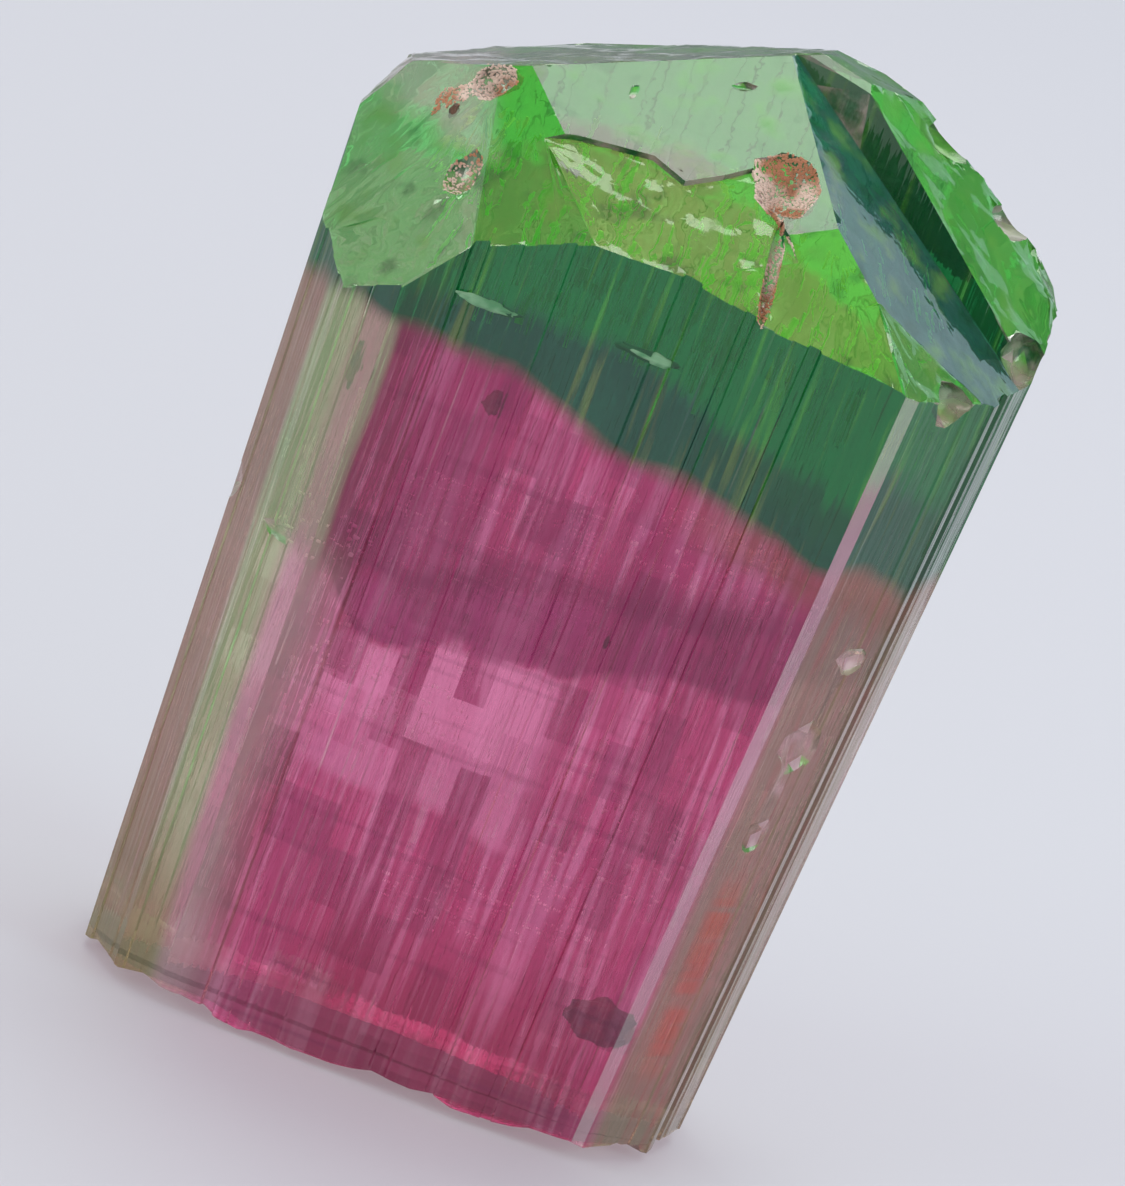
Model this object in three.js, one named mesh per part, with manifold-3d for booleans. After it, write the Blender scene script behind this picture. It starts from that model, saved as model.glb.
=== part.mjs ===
// Watermelon tourmaline crystal: one natural prism with lengthwise striations, a low pyramid of
// growth faces at the top, and a broken base that it stands on.
// Millimetres, +Z up along the crystal's long axis, -Y towards the broad front face.
// The origin is on the base, under the middle of the crystal's box.

import * as THREE from "three";
import { mergeVertices } from "three/addons/utils/BufferGeometryUtils.js";
import Module from "manifold-3d";

const wasm = await Module();
wasm.setup();

// Driving dimensions
const SHOULDER_Z = 20; // where the cross-section below is true to size
const STOCK_TOP = 30; // the prism before its top is cut into faces
const BASE_SCALE = 0.875; // the crystal narrows towards its base
const BASE_LEAN = 0.24; // and its axis shifts towards -X there
const STRIATION_PITCH = 0.42; // mean width of one lengthwise terrace
const STRIATION_DEPTH = 0.13; // deepest terrace below the outline
const TERRACE_SLOPE = 0.06; // share of a terrace's width that its sloping side takes
const BASE_HALF = [7.6, 5.5]; // half-sizes of the base
const BASE_RELIEF = 0.55; // height of the break at the base's rim
const BASE_FLAT = 0.72; // share of the base, from its middle, that is flat
const CUT_SIDE = 80; // side of the blocks that cut the flat faces
const LUMP_SWELL = [0.82, 1.12]; // how far a hollow's corners vary about its half-sizes

// Corners of the cross-section at SHOULDER_Z, anticlockwise from the front-left edge
const OUTLINE = [
  [-6.0, -6.0],
  [-2.0, -6.25],
  [2.6, -6.3],
  [6.0, -6.05],
  [6.35, -5.75],
  [8.1, -3.4],
  [8.75, -0.8],
  [8.6, 1.8],
  [6.9, 4.6],
  [3.8, 6.1],
  [-0.6, 6.4],
  [-4.6, 5.3],
  [-7.2, 2.6],
  [-8.45, -0.6],
  [-8.4, -3.1],
  [-7.35, -5.1],
];

// Faces of the top. Each is a plane through a point, leaning by tilt towards an azimuth
// (degrees, 0 towards +X, -90 towards the front)
const APEX = [1.0, 0.3, 26.1];
const FRONT_PYRAMID = { through: APEX, azimuth: -92, tilt: 33 };
const LEFT_RIDGE = { through: APEX, azimuth: 160, tilt: 23 };
const LEFT_FRONT_SHOULDER = { through: [-5.2, -3.2, 23.5], azimuth: -138, tilt: 63 };
const LEFT_SHOULDER = { through: [-8.0, 0, 22.2], azimuth: 178, tilt: 60 };
const LEFT_FRONT_BEVEL = { through: [-1.5, -6.25, 21.85], azimuth: -115, tilt: 50 };
const RIGHT_FRONT_BEVEL = { through: [-1.1, -6.25, 21.85], azimuth: -80, tilt: 45 };
const CREST = { through: [2.5, 0.8, 26.05], azimuth: 12, tilt: 9 };
const RIGHT_PYRAMID = { through: [6.2, 1.5, 24.4], azimuth: -37, tilt: 39.6 };
const RIGHT_SHOULDER = { through: [8.1, 0.6, 22.9], azimuth: -4, tilt: 52 };
const RIGHT_BACK = { through: [6.2, 1.5, 24.4], azimuth: 48, tilt: 42 };
const BACK_PYRAMID = { through: [0.5, 2.2, 25.7], azimuth: 95, tilt: 41 };
const BACK_LEFT_SHOULDER = { through: [-5.6, 3.4, 22.8], azimuth: 135, tilt: 58 };
const TOP_FACES = [
  FRONT_PYRAMID,
  LEFT_RIDGE,
  LEFT_FRONT_SHOULDER,
  LEFT_SHOULDER,
  LEFT_FRONT_BEVEL,
  RIGHT_FRONT_BEVEL,
  CREST,
  RIGHT_PYRAMID,
  RIGHT_SHOULDER,
  RIGHT_BACK,
  BACK_PYRAMID,
  BACK_LEFT_SHOULDER,
];

// The right front face is a growth step: it stops at a low wall under the right pyramid face
const STEP_FACE = { through: [1.0, 0.3, 25.85], azimuth: -24.4, tilt: 33.2 };
const STEP_WALL = { through: [1.2, 0.3], azimuth: -14.6 };

// The front pyramid face's lower part lies a ledge below its upper part, along a ragged line.
// The line is drawn on the face: across, and uphill from LEDGE_ORIGIN.
const LEDGE_DEPTH = 0.2;
const LEDGE_ORIGIN = [0, -3.9, 23.37];
const LEDGE_LINE = [
  [-5.6, -1.1],
  [-4.3, -0.55],
  [-3.4, -0.15],
  [-2.5, 0.0],
  [-1.5, 0.15],
  [-0.6, -0.25],
  [0.2, 0.4],
  [0.75, 0.95],
  [1.3, 0.2],
  [2.2, -0.7],
  [2.9, -1.6],
  [3.4, -2.0],
  [4.4, -2.9],
];

// Hollows broken or etched into the crystal: centre, half-sizes, and turns in degrees, first a
// lean about X and then a turn about Z
const HOLLOWS = [
  { name: "stained pit", at: [1.6, -3.35, 23.9], half: [0.85, 1.15, 0.75], lean: 33, turn: 12 },
  { name: "stain groove", at: [2.08, -5.35, 22.15], half: [0.21, 1.6, 0.4], lean: 39, turn: 9 },
  { name: "front nick left", at: [-2.5, -2.35, 24.5], half: [0.2, 0.45, 0.22], lean: 33, turn: -10 },
  { name: "front nick right", at: [-0.2, -1.2, 25.22], half: [0.5, 0.16, 0.18], lean: 33, turn: 35 },
  { name: "ridge chip", at: [-6.0, -2.75, 23.5], half: [1.1, 0.6, 0.5], lean: 20, turn: 15 },
  { name: "shoulder pit", at: [-5.65, -4.4, 21.7], half: [0.55, 0.5, 0.85], lean: 0, turn: -40 },
  { name: "left edge notch", at: [-8.35, -2.6, 12.1], half: [0.5, 1.2, 0.7], lean: 0, turn: 8 },
  { name: "left front scar", at: [-6.7, -5.5, 11.9], half: [0.9, 0.45, 0.6], lean: 0, turn: -38 },
  { name: "right scar high", at: [7.4, -4.17, 13.7], half: [0.5, 0.7, 0.55], lean: 0, turn: -36 },
  { name: "right scar middle", at: [6.94, -4.48, 11.3], half: [0.55, 0.85, 0.9], lean: 8, turn: -36 },
  { name: "right scar low", at: [6.75, -4.5, 8.9], half: [0.45, 0.6, 0.65], lean: -8, turn: -36 },
  { name: "crest chip", at: [4.93, 1.23, 25.17], half: [1.0, 0.6, 0.45], lean: 0, turn: -10 },
  { name: "crest chip low", at: [7.1, 1.3, 23.9], half: [0.8, 0.6, 0.45], lean: 0, turn: 10 },
  { name: "right shoulder chip", at: [8.5, -1.2, 21.4], half: [0.7, 0.9, 0.7], lean: 0, turn: 8 },
  { name: "right rim chip", at: [7.2, -4.6, 20.6], half: [0.8, 0.7, 0.6], lean: 0, turn: -30 },
  { name: "base front chip", at: [-4.9, -5.3, 0.0], half: [1.2, 0.6, 0.5], lean: 0, turn: 4 },
  { name: "base right chip", at: [6.43, -3.83, -0.07], half: [1.0, 0.8, 0.6], lean: 0, turn: 40 },
  { name: "base back chip", at: [-2.5, 5.6, 0.0], half: [1.8, 0.9, 0.8], lean: 0, turn: -8 },
];

// A repeatable number from 0 to 1 for each whole number
const scatter = (i) => {
  const x = Math.sin(i * 12.9898 + 4.1414) * 43758.5453;
  return x - Math.floor(x);
};

// A geometry as a solid, with its shared corners merged
function solid(geometry) {
  const bare = geometry.clone();
  bare.deleteAttribute("normal");
  bare.deleteAttribute("uv");
  const merged = mergeVertices(bare, 1e-4);
  return new wasm.Manifold(
    new wasm.Mesh({
      numProp: 3,
      vertProperties: new Float32Array(merged.attributes.position.array),
      triVerts: new Uint32Array(merged.index.array),
    }),
  );
}

// A solid as a geometry to draw, with one normal for each flat face
function drawn(body) {
  const mesh = body.getMesh();
  const geometry = new THREE.BufferGeometry();
  geometry.setAttribute("position", new THREE.BufferAttribute(mesh.vertProperties, 3));
  geometry.setIndex(new THREE.BufferAttribute(mesh.triVerts, 1));
  const flat = geometry.toNonIndexed();
  flat.computeVertexNormals();
  return flat;
}

// The outline with each side broken into terraces that step in and out by a fraction of a millimetre
function striatedOutline() {
  const points = [];
  let count = 0;
  OUTLINE.forEach((corner, i) => {
    const a = new THREE.Vector2(...corner);
    const b = new THREE.Vector2(...OUTLINE[(i + 1) % OUTLINE.length]);
    const along = b.clone().sub(a);
    const inward = new THREE.Vector2(-along.y, along.x).normalize();
    const strips = Math.max(1, Math.round(along.length() / STRIATION_PITCH));
    const marks = [0];
    for (let k = 1; k < strips; k++) marks.push((k + 0.6 * (scatter(count + k) - 0.5)) / strips);
    marks.push(1);
    for (let k = 0; k < strips; k++) {
      const depth = k === 0 ? 0 : STRIATION_DEPTH * scatter(count + k + 500) ** 2;
      const step = inward.clone().multiplyScalar(depth);
      const gap = TERRACE_SLOPE * (marks[k + 1] - marks[k]);
      points.push(a.clone().addScaledVector(along, marks[k] + gap).add(step));
      points.push(a.clone().addScaledVector(along, marks[k + 1] - gap).add(step));
    }
    count += strips;
  });
  return points;
}

// The prism: the striated outline run up the long axis, narrower and leaning at the base
function prism() {
  const shape = new THREE.Shape(striatedOutline());
  const geometry = new THREE.ExtrudeGeometry(shape, { depth: STOCK_TOP, bevelEnabled: false });
  const position = geometry.attributes.position;
  for (let i = 0; i < position.count; i++) {
    const up = position.getZ(i) / SHOULDER_Z;
    const scale = BASE_SCALE + (1 - BASE_SCALE) * up;
    position.setX(i, position.getX(i) * scale + BASE_LEAN * (up - 1));
    position.setY(i, position.getY(i) * scale);
  }
  return solid(geometry);
}

// The frame of a leaning face: its third axis is the outward normal, its first runs level
function faceFrame({ through, azimuth, tilt }) {
  const turn = THREE.MathUtils.degToRad(azimuth);
  const lean = THREE.MathUtils.degToRad(tilt);
  const normal = new THREE.Vector3(
    Math.sin(lean) * Math.cos(turn),
    Math.sin(lean) * Math.sin(turn),
    Math.cos(lean),
  );
  const level = new THREE.Vector3(-Math.sin(turn), Math.cos(turn), 0);
  const uphill = normal.clone().cross(level);
  return new THREE.Matrix4().makeBasis(level, uphill, normal).setPosition(...through);
}

// Everything above a leaning face, to cut it with
function aboveFace(face) {
  const block = new THREE.BoxGeometry(CUT_SIDE, CUT_SIDE, CUT_SIDE).translate(0, 0, CUT_SIDE / 2);
  return solid(block.applyMatrix4(faceFrame(face)));
}

// What lies above the step face in front of the step's wall
function aboveStep() {
  const wallTurn = THREE.MathUtils.degToRad(STEP_WALL.azimuth);
  const front = new THREE.BoxGeometry(CUT_SIDE, CUT_SIDE, CUT_SIDE).translate(0, -CUT_SIDE / 2, 0);
  front.rotateZ(wallTurn).translate(...STEP_WALL.through, SHOULDER_Z);
  return aboveFace(STEP_FACE).intersect(solid(front));
}

// A thin layer off the lower part of the front pyramid face, below its ragged line
function ledge() {
  const below = -12;
  const [first] = LEDGE_LINE;
  const last = LEDGE_LINE[LEDGE_LINE.length - 1];
  const outline = [[first[0], below], [last[0], below], ...LEDGE_LINE.slice().reverse()];
  const shape = new THREE.Shape(outline.map(([x, y]) => new THREE.Vector2(x, y)));
  const layer = new THREE.ExtrudeGeometry(shape, { depth: 3, bevelEnabled: false });
  const face = { ...FRONT_PYRAMID, through: LEDGE_ORIGIN };
  return solid(layer.translate(0, 0, -LEDGE_DEPTH).applyMatrix4(faceFrame(face)));
}

// A lumpy hollow with flat facets, as a chip or an etched pit leaves
function hollow({ at, half, lean, turn }, index) {
  const lump = mergeVertices(bareSphere());
  const position = lump.attributes.position;
  for (let i = 0; i < position.count; i++) {
    const swell = THREE.MathUtils.lerp(...LUMP_SWELL, scatter(index * 97 + i));
    position.setXYZ(
      i,
      position.getX(i) * half[0] * swell,
      position.getY(i) * half[1] * swell,
      position.getZ(i) * half[2] * swell,
    );
  }
  lump.rotateX(THREE.MathUtils.degToRad(lean));
  lump.rotateZ(THREE.MathUtils.degToRad(turn)).translate(...at);
  return solid(lump);
}

// A ball of flat triangles with position only, so that its corners can merge
function bareSphere() {
  const ball = new THREE.IcosahedronGeometry(1, 1);
  ball.deleteAttribute("normal");
  ball.deleteAttribute("uv");
  return ball;
}

// What is missing under the broken base: nothing in the middle, more towards the rim
function baseBreak() {
  const width = 22;
  const depth = 18;
  const height = 4;
  const block = new THREE.BoxGeometry(width, depth, height, 22, 18, 1).translate(0, 0, -height / 2);
  const position = block.attributes.position;
  for (let i = 0; i < position.count; i++) {
    if (position.getZ(i) < -height / 2) continue;
    const x = position.getX(i);
    const y = position.getY(i);
    const out = Math.hypot(x / BASE_HALF[0], y / BASE_HALF[1]);
    const rim = THREE.MathUtils.clamp((out - BASE_FLAT) / (1 - BASE_FLAT), 0, 1);
    const rough = scatter(Math.round(x * 7) * 31 + Math.round(y * 5));
    position.setZ(i, rim > 0 ? BASE_RELIEF * rim * (0.25 + 0.75 * rough) : -0.3);
  }
  return solid(block);
}

function crystalSolid() {
  let body = prism();
  for (const face of TOP_FACES) body = body.subtract(aboveFace(face));
  body = body.subtract(aboveStep()).subtract(ledge()).subtract(baseBreak());
  HOLLOWS.forEach((each, index) => {
    body = body.subtract(hollow(each, index));
  });
  return body;
}

// The crystal with its base's middle at the origin
function crystal() {
  const geometry = drawn(crystalSolid());
  geometry.computeBoundingBox();
  const middle = geometry.boundingBox.getCenter(new THREE.Vector3());
  geometry.translate(-middle.x, -middle.y, 0);
  const material = new THREE.MeshStandardMaterial({
    color: 0xb4487c,
    roughness: 0.15,
    metalness: 0,
  });
  const mesh = new THREE.Mesh(geometry, material);
  mesh.name = "crystal";
  return mesh;
}

const specimen = new THREE.Group();
specimen.add(crystal());

export default specimen;
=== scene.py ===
"""Dresses the watermelon tourmaline crystal: a clear striated prism, pink under a green crown.

Lengths in the classes are millimetres unless a name says otherwise, and MM turns them into metres.
"""

import logging
import math
from dataclasses import dataclass
from enum import Enum
from typing import Any, Union

import bmesh
import bpy
from mathutils import Matrix, Vector, noise


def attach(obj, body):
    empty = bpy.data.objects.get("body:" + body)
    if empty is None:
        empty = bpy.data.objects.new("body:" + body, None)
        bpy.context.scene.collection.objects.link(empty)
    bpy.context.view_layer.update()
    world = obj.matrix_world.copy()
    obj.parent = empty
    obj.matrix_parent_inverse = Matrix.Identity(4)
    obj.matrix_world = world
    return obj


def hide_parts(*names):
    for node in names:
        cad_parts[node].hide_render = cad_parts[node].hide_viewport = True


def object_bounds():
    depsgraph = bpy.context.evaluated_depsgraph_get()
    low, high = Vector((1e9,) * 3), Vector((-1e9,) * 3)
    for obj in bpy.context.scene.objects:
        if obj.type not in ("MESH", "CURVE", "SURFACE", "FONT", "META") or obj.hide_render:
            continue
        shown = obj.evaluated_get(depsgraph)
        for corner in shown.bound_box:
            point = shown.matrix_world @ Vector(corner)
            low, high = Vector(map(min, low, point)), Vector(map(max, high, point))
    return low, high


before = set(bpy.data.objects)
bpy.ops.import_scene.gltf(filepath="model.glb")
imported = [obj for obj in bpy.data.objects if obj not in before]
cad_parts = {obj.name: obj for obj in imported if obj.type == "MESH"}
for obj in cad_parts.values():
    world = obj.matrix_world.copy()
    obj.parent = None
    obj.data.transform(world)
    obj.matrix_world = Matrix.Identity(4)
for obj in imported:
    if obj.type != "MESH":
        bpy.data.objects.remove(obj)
CAD_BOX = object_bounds()

MM = 0.001
BODY = "root"
NODE = "crystal"
SHOULDER_Z = 20.0
BASE_SCALE = 0.875

Colour = tuple[float, float, float]
Point = tuple[float, float, float]
Span = tuple[float, float]
Number = Union[int, float]

log = logging.getLogger("tourmaline")


class Mark(Enum):
    """What the crystal's faces are marked with, by the name of the attribute."""

    CROWN = "crown"
    BROKEN = "broken"
    LEDGE = "ledge"
    # Painted highlight: marks the faces along the right front edge that the material whitens, where a light
    # glints.
    EDGE_HIGHLIGHT = "edge_highlight"
    TINT = "tint"


def srgb(red: int, green: int, blue: int) -> Colour:
    """Turns a screen colour into the linear colour that a shader takes.

    Args:
        red: Red from 0 to 255.
        green: Green from 0 to 255.
        blue: Blue from 0 to 255.

    Returns:
        The colour as three linear numbers.
    """
    def linear(value: int) -> float:
        """Undoes the screen curve of one channel."""
        share = value / 255
        return share / 12.92 if share <= 0.04045 else ((share + 0.055) / 1.055) ** 2.4

    return linear(red), linear(green), linear(blue)


class Sig:
    """A value in a shader: a socket whose arithmetic adds Math nodes."""

    def __init__(self, graph: "Graph", socket: bpy.types.NodeSocket) -> None:
        """Keeps the graph and the socket that holds the value."""
        self.graph = graph
        self.socket = socket

    def _math(self, operation: str, *terms: Union["Sig", Number]) -> "Sig":
        """Adds one Math node over the terms."""
        links = {place: term for place, term in enumerate(terms)}
        return self.graph.node("ShaderNodeMath", {"operation": operation}, links)

    def __add__(self, other: Union["Sig", Number]) -> "Sig":
        """self + other"""
        return self._math("ADD", self, other)

    def __radd__(self, other: Number) -> "Sig":
        """other + self"""
        return self._math("ADD", other, self)

    def __sub__(self, other: Union["Sig", Number]) -> "Sig":
        """self - other"""
        return self._math("SUBTRACT", self, other)

    def __rsub__(self, other: Number) -> "Sig":
        """other - self"""
        return self._math("SUBTRACT", other, self)

    def __mul__(self, other: Union["Sig", Number]) -> "Sig":
        """self * other"""
        return self._math("MULTIPLY", self, other)

    def __rmul__(self, other: Number) -> "Sig":
        """other * self"""
        return self._math("MULTIPLY", other, self)

    def __truediv__(self, other: Union["Sig", Number]) -> "Sig":
        """self / other"""
        return self._math("DIVIDE", self, other)

    def most(self, other: Union["Sig", Number]) -> "Sig":
        """The larger of two values."""
        return self._math("MAXIMUM", self, other)

    def whole(self) -> "Sig":
        """The whole number at or below the value."""
        return self._math("FLOOR", self)

    def rise(self, low: Number, high: Number) -> "Sig":
        """A smooth step.

        Args:
            low: Where the result is 0.
            high: Where the result is 1; it may be below low.

        Returns:
            The step, from 0 to 1.
        """
        settings = {"interpolation_type": "SMOOTHSTEP"}
        return self.graph.node("ShaderNodeMapRange", settings, {0: self, 1: low, 2: high})

    def band(self, low: Number, high: Number, soft: Number) -> "Sig":
        """A window between two values.

        Args:
            low: Start of the window.
            high: End of the window.
            soft: Width over which each end fades.

        Returns:
            1 inside the window and 0 outside.
        """
        return self.rise(low - soft, low + soft) * self.rise(high + soft, high - soft)


@dataclass(frozen=True)
class Grain:
    """A noise: its waves per millimetre along each axis, and how much finer noise is added."""

    waves: Point
    detail: float


class Graph:
    """A material's nodes, made by one method."""

    def __init__(self, name: str) -> None:
        """Starts an empty material.

        Args:
            name: The material's name.
        """
        self.material = bpy.data.materials.new(name)
        self.material.use_nodes = True
        self.tree = self.material.node_tree
        self.tree.nodes.clear()

    def add(self, kind: str, settings: dict[str, Any], links: dict[Any, Any]) -> bpy.types.Node:
        """Adds a node.

        Args:
            kind: The node's type.
            settings: Its properties, set first.
            links: A value or a Sig for each socket, by name or place.

        Returns:
            The node.
        """
        made = self.tree.nodes.new(kind)
        for name, value in settings.items():
            setattr(made, name, value)
        for place, value in links.items():
            socket = made.inputs[place]
            if isinstance(value, Sig):
                self.tree.links.new(value.socket, socket)
            elif socket.type == "RGBA":
                socket.default_value = (*value, 1.0)
            else:
                socket.default_value = value
        return made

    def node(self, kind: str, settings: dict[str, Any], links: dict[Any, Any], out: Any = 0) -> Sig:
        """Adds a node and hands over one of its outputs, by name or place."""
        return Sig(self, self.add(kind, settings, links).outputs[out])

    def place(self) -> Sig:
        """The point on the object, in millimetres."""
        at = self.node("ShaderNodeTexCoord", {}, {}, "Object")
        return self.node("ShaderNodeVectorMath", {"operation": "SCALE"}, {0: at, "Scale": 1 / MM})

    def axes(self, at: Sig) -> tuple[Sig, Sig, Sig]:
        """The three coordinates of a point."""
        x, y, z = self.add("ShaderNodeSeparateXYZ", {}, {0: at}).outputs
        return Sig(self, x), Sig(self, y), Sig(self, z)

    def grain(self, at: Sig, grain: Grain) -> Sig:
        """Noise over the object.

        Args:
            at: The point in millimetres.
            grain: The noise.

        Returns:
            Noise from 0 to 1, mostly near 0.5.
        """
        scaled = self.node("ShaderNodeVectorMath", {"operation": "MULTIPLY"}, {0: at, 1: grain.waves})
        return self.node("ShaderNodeTexNoise", {}, {"Vector": scaled, "Scale": 1.0, "Detail": grain.detail})

    def blocks(self, at: Sig, per_mm: Point) -> Sig:
        """A random number for each upright block, in columns that are shifted against each other.

        Args:
            at: The point in millimetres.
            per_mm: Blocks per millimetre along each axis.

        Returns:
            A number from 0 to 1, the same all over a block.
        """
        scaled = self.node("ShaderNodeVectorMath", {"operation": "MULTIPLY"}, {0: at, 1: per_mm})
        x, y, z = self.axes(scaled)
        column = x.whole()
        shift = self.node("ShaderNodeTexWhiteNoise", {"noise_dimensions": "1D"}, {"W": column})
        corner = self.node("ShaderNodeCombineXYZ", {}, {0: column, 1: y.whole(), 2: (z + shift).whole()})
        return self.node("ShaderNodeTexWhiteNoise", {"noise_dimensions": "3D"}, {"Vector": corner})

    def mix(self, share: Sig, under: Union[Sig, Colour], over: Union[Sig, Colour]) -> Sig:
        """Lays one colour over another by a share."""
        settings = {"data_type": "RGBA", "clamp_factor": True}
        return self.node("ShaderNodeMix", settings, {0: share, 6: under, 7: over}, 2)

    def attribute(self, mark: Mark, out: str = "Fac") -> Sig:
        """Reads what the mesh's faces are marked with."""
        return self.node("ShaderNodeAttribute", {"attribute_name": mark.value}, {}, out)

    def bump(self, height: Sig) -> Sig:
        """A surface normal from a height in millimetres."""
        links = {"Height": height * MM, "Strength": 1.0, "Distance": 1.0}
        return self.node("ShaderNodeBump", {}, links)

    def close(self, **shaders: Sig) -> bpy.types.Material:
        """Links the shaders to the output's sockets of those names and hands the material over."""
        self.add("ShaderNodeOutputMaterial", {}, shaders)
        return self.material


@dataclass(frozen=True)
class Survey:
    """What the colours go by at a point of the crystal, with lengths in millimetres.

    The distance across is taken as at the shoulder, and the level is the height, made wavy.
    """

    across: Sig
    y: Sig
    z: Sig
    wave: Sig
    level: Sig
    streak: Sig
    cover: Sig
    fine: Sig
    line: Sig
    tile: Sig
    lump: Sig


@dataclass(frozen=True)
class PinkZone:
    """The prism's pink middle: pale streaks, a pale patch, a dark band over it and a red foot."""

    pink: Colour = srgb(200, 58, 118)
    pale: Colour = srgb(246, 142, 188)
    magenta: Colour = srgb(130, 14, 78)
    red: Colour = srgb(160, 30, 66)
    streaks: Span = (0.46, 0.68)
    streak_share: float = 0.85
    dark_blocks: Span = (0.55, 0.1)
    dark_block_share: float = 0.5
    hairs: Span = (0.55, 0.7)
    hair_share: float = 0.45
    tilt: float = 0.22
    patch_bottom: Span = (6.8, 7.2)
    patch_top: Span = (11.4, 11.1)
    patch_sides: Span = (-5.9, 1.0)
    patch_fade: float = 0.5
    patch_blocks: Span = (0.0, 0.7)
    patch_share: float = 0.85
    band_slope: float = 1.12
    band_left: Span = (5.1, 5.4)
    band_bottom: Span = (11.2, 11.5)
    band_top: Span = (14.4, 12.9)
    band_share: float = 0.8
    upper_left: Span = (-2.35, -2.5)
    upper_bottom: Span = (13.4, 14.0)
    upper_share: float = 0.45
    foot_height: Span = (5.0, 1.0)
    foot_sides: Span = (-3.5, 5.0)
    foot_fade: float = 1.6
    foot_share: float = 0.6
    lines: Span = (0.58, 0.7)
    line_share: float = 0.35

    def paint(self, graph: Graph, here: Survey) -> Sig:
        """Paints the zone.

        Args:
            graph: The material's nodes.
            here: What the colours go by.

        Returns:
            The colour.
        """
        colour = graph.mix(here.streak.rise(*self.streaks) * self.streak_share, self.pink, self.pale)
        colour = graph.mix(here.tile.rise(*self.dark_blocks) * self.dark_block_share, colour, self.magenta)
        colour = graph.mix(here.fine.rise(*self.hairs) * self.hair_share, colour, self.pale)
        tilted = here.level - here.across * self.tilt
        patch = here.level.rise(*self.patch_bottom) * tilted.rise(*self.patch_top)
        patch = patch * here.across.band(*self.patch_sides, self.patch_fade)
        patch = patch * here.tile.rise(*self.patch_blocks)
        colour = graph.mix(patch * self.patch_share, colour, self.pale)
        left = (here.level + here.across * self.band_slope).rise(*self.band_left)
        band = left * tilted.rise(*self.band_bottom) * tilted.rise(*self.band_top)
        colour = graph.mix(band * self.band_share, colour, self.magenta)
        upper = here.across.rise(*self.upper_left) * tilted.rise(*self.upper_bottom)
        colour = graph.mix(upper * self.upper_share, colour, self.magenta)
        foot = here.level.rise(*self.foot_height) * here.across.band(*self.foot_sides, self.foot_fade)
        colour = graph.mix(foot * self.foot_share, colour, self.red)
        return graph.mix(here.line.rise(*self.lines) * self.line_share, colour, self.magenta)


@dataclass(frozen=True)
class LeftRim:
    """The pale rim down the left: grey below and pale green above, with a green stripe and a brown edge."""

    pale: Colour = srgb(190, 200, 160)
    grey: Colour = srgb(214, 184, 184)
    green: Colour = srgb(178, 236, 158)
    brown: Colour = srgb(168, 146, 112)
    olive: Colour = srgb(146, 150, 84)
    grey_height: Span = (12.8, 11.0)
    stripe: Span = (-7.9, -6.85)
    stripe_fade: float = 0.25
    brown_edge: Span = (-7.8, -8.0)
    olive_height: Span = (6.0, 0.5)
    olive_edge: Span = (-6.3, -7.0)
    crisp_waviness: float = 0.5
    crisp_border: Span = (-5.85, -6.1)
    faded_border: Span = (-4.6, -6.7)

    def paint(self, graph: Graph, here: Survey, under: Sig) -> Sig:
        """Paints the rim over the colour that it borders.

        Args:
            graph: The material's nodes.
            here: What the colours go by.
            under: The colour so far.

        Returns:
            The colour with the rim.
        """
        low = here.z.rise(*self.grey_height)
        rim = graph.mix(low, self.pale, self.grey)
        rim = graph.mix(here.across.band(*self.stripe, self.stripe_fade), rim, self.green)
        rim = graph.mix(here.across.rise(*self.brown_edge), rim, self.brown)
        corner = here.z.rise(*self.olive_height) * here.across.rise(*self.olive_edge)
        rim = graph.mix(corner, rim, self.olive)
        crisp = (here.across + here.wave * self.crisp_waviness).rise(*self.crisp_border)
        faded = (here.across + here.wave).rise(*self.faded_border)
        share = crisp + (faded - crisp) * low
        return graph.mix(share * here.cover, under, rim)


@dataclass(frozen=True)
class RightSide:
    """The olive side on the right, with red streaks, a rusty patch and a painted reflection, pale, along its
    outer edge.
    """

    olive: Colour = srgb(142, 142, 100)
    red: Colour = srgb(176, 70, 70)
    rust: Colour = srgb(196, 84, 26)
    # Painted reflection: the pale strip at the outer edge stands in for the bright background seen at a
    # grazing angle.
    grazing_reflection: Colour = srgb(238, 238, 230)
    streaks: Span = (0.45, 0.75)
    streak_share: float = 0.6
    rust_height: Span = (2.6, 7.4)
    rust_height_fade: float = 0.8
    rust_sides: Span = (6.5, 7.1)
    rust_side_fade: float = 0.2
    rust_lines: Span = (0.3, 0.5)
    rust_share: float = 0.9
    grazing_reflection_edge: Span = (8.25, 8.45)
    grazing_reflection_share: float = 0.8
    border: Span = (5.85, 6.25)

    def paint(self, graph: Graph, here: Survey, under: Sig) -> Sig:
        """Paints the side over the colour that it borders.

        Args:
            graph: The material's nodes.
            here: What the colours go by.
            under: The colour so far.

        Returns:
            The colour with the side.
        """
        side = graph.mix(here.streak.rise(*self.streaks) * self.streak_share, self.olive, self.red)
        rust = here.z.band(*self.rust_height, self.rust_height_fade)
        rust = rust * here.across.band(*self.rust_sides, self.rust_side_fade)
        rust = rust * here.line.rise(*self.rust_lines)
        side = graph.mix(rust * self.rust_share, side, self.rust)
        # Painted reflection: whitens the outer edge of the side, as a grazing reflection of the background.
        side = graph.mix(here.across.rise(*self.grazing_reflection_edge) * self.grazing_reflection_share, side, self.grazing_reflection)
        return graph.mix(here.across.rise(*self.border) * here.cover, under, side)


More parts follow.
